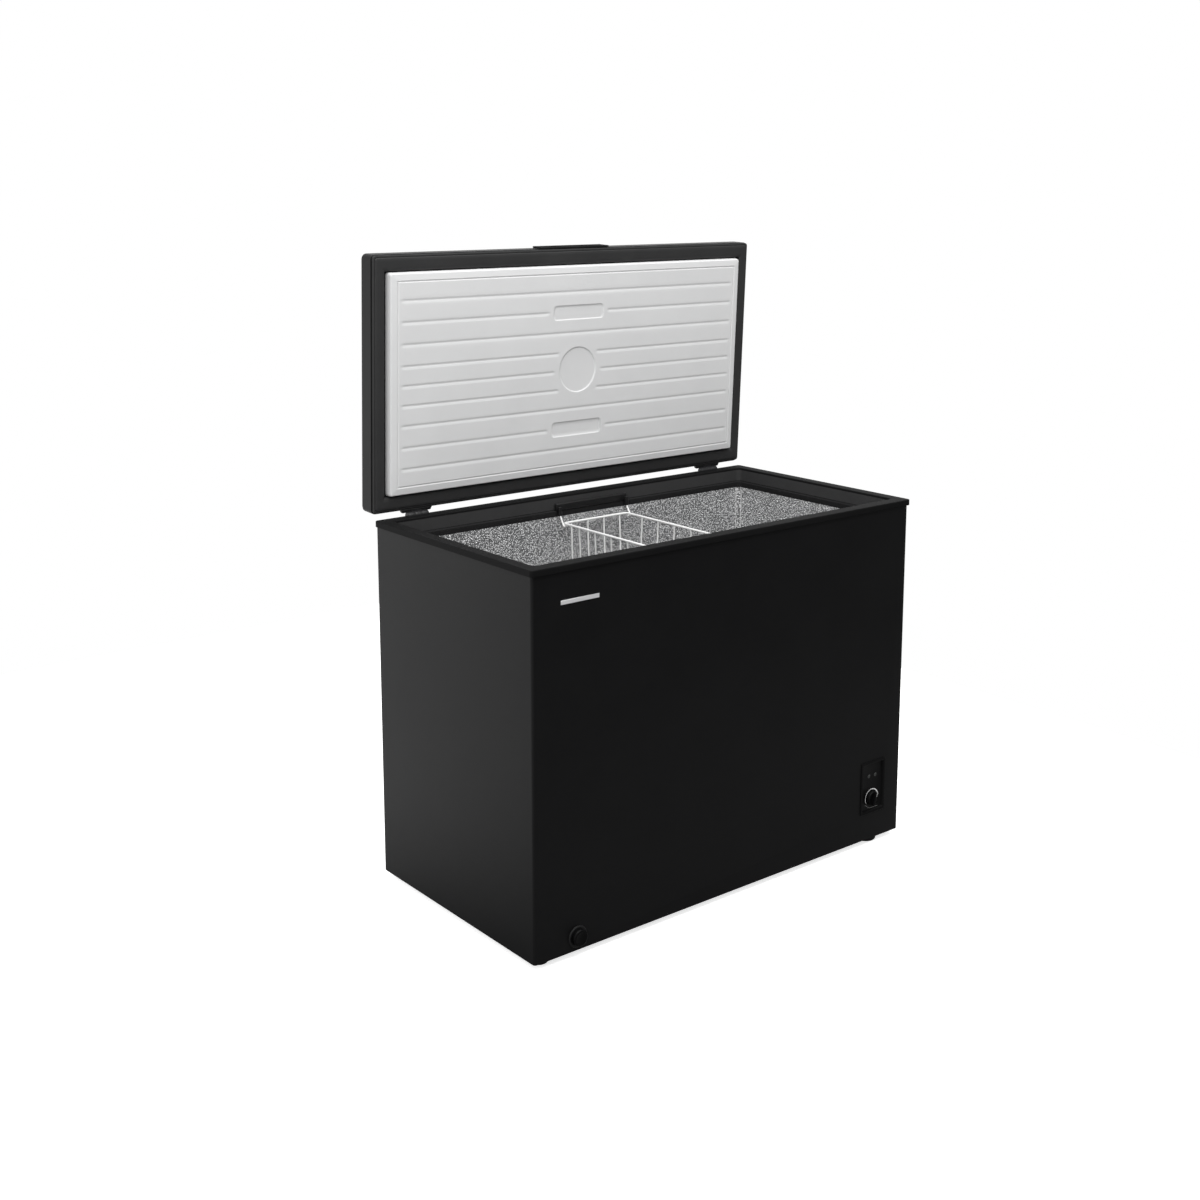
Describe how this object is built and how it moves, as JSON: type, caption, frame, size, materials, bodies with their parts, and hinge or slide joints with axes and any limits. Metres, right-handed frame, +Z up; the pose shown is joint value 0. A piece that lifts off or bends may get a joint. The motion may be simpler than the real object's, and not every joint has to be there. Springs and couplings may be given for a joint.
{
  "type": "chest freezer",
  "caption": "Black chest freezer with a hinged lid, a white ribbed lid liner, an embossed aluminium tub and a lift-out wire basket.",
  "frame": {"origin": "on the floor, at the centre of the box that the freezer fills with its lid open", "axes": "+X to the right of a person facing the front, +Y towards the back, +Z up"},
  "size_m": [1.054, 0.6146, 1.3495],
  "materials": {
    "black_paint": "satin",
    "black_plastic": "matte",
    "gloss_black_plastic": "satin",
    "black_rubber": "matte",
    "white_plastic": "satin",
    "stucco_aluminium": "satin",
    "white_wire": "gloss",
    "foam": "matte",
    "zinc_steel": "satin",
    "copper": "satin",
    "silver_badge": "polished",
    "lamp_lens": "gloss"
  },
  "bodies": {
    "cabinet": {"cabinet_wrap": "black_paint", "back_panel": "black_paint", "bottom_pan": "zinc_steel", "compressor_cover": "black_paint", "side_vent": "black_plastic", "foam_body": "foam", "inner_liner": "stucco_aluminium", "top_frame": "black_plastic", "foot_front_left": "black_plastic", "foot_rear_left": "black_plastic", "foot_front_right": "black_plastic", "foot_rear_right": "black_plastic", "evaporator_coil": "copper", "condenser_coil": "copper", "compressor_base": "zinc_steel", "compressor_grommet_1": "black_rubber", "compressor_grommet_2": "black_rubber", "compressor_grommet_3": "black_rubber", "compressor_grommet_4": "black_rubber", "compressor": "black_paint", "compressor_relay": "black_plastic", "filter_drier": "copper", "suction_pipe": "copper", "discharge_pipe": "copper", "capillary_coil": "copper", "cord_gland": "black_plastic", "drain_socket": "black_plastic", "drain_tube": "white_plastic", "control_panel": "gloss_black_plastic", "thermostat": "zinc_steel", "power_lamp": "lamp_lens", "fast_freeze_lamp": "lamp_lens", "badge": "silver_badge", "rating_plate": "silver_badge", "hinge_case_left": "black_paint", "hinge_case_right": "black_paint", "hinge_pin_left": "zinc_steel", "hinge_pin_right": "zinc_steel", "hinge_spring_left": "zinc_steel", "hinge_spring_right": "zinc_steel"},
    "lid": {"lid_skin": "black_paint", "lid_foam": "foam", "lid_frame": "black_plastic", "lid_gasket": "black_rubber", "lid_liner": "white_plastic", "lid_handle": "black_plastic", "hinge_arm_left": "zinc_steel", "hinge_arm_right": "zinc_steel", "hinge_cover_left": "black_plastic", "hinge_cover_right": "black_plastic"},
    "drain_cap": {"drain_cap": "gloss_black_plastic"},
    "drain_plug": {"drain_plug": "white_plastic"},
    "thermostat_knob": {"thermostat_knob": "gloss_black_plastic"},
    "basket": {"basket": "white_wire"},
    "basket_bail_front": {"basket_handle_front": "white_wire", "basket_grip_front": "black_plastic"},
    "basket_bail_rear": {"basket_handle_rear": "white_wire", "basket_grip_rear": "black_plastic"}
  },
  "joints": [
    {"name": "lid_hinge", "type": "hinge", "parent": "cabinet", "child": "lid", "pos_m": [0, 0.2557, 0.7896], "axis": [1, 0, 0], "range_deg": [0, 87.5]},
    {"name": "knob_turn", "type": "hinge", "parent": "cabinet", "child": "thermostat_knob", "pos_m": [0.431, -0.2943, 0.1105], "axis": [0, -1, 0], "range_deg": [-150, 120]},
    {"name": "drain_cap_pull", "type": "slide", "parent": "cabinet", "child": "drain_cap", "axis": [0, -1, 0], "range_m": [0, 0.04]},
    {"name": "drain_plug_lift", "type": "slide", "parent": "cabinet", "child": "drain_plug", "axis": [0, 0, 1], "range_m": [0, 0.05]},
    {"name": "basket_lift", "type": "slide", "parent": "cabinet", "child": "basket", "axis": [0, 0, 1], "range_m": [0, 0.45]},
    {"name": "bail_front_swing", "type": "hinge", "parent": "basket", "child": "basket_bail_front", "pos_m": [0.02525, -0.2383, 0.726], "axis": [-1, 0, 0], "range_deg": [0, 95]},
    {"name": "bail_rear_swing", "type": "hinge", "parent": "basket", "child": "basket_bail_rear", "pos_m": [0.02525, 0.1957, 0.726], "axis": [1, 0, 0], "range_deg": [0, 95]}
  ]
}
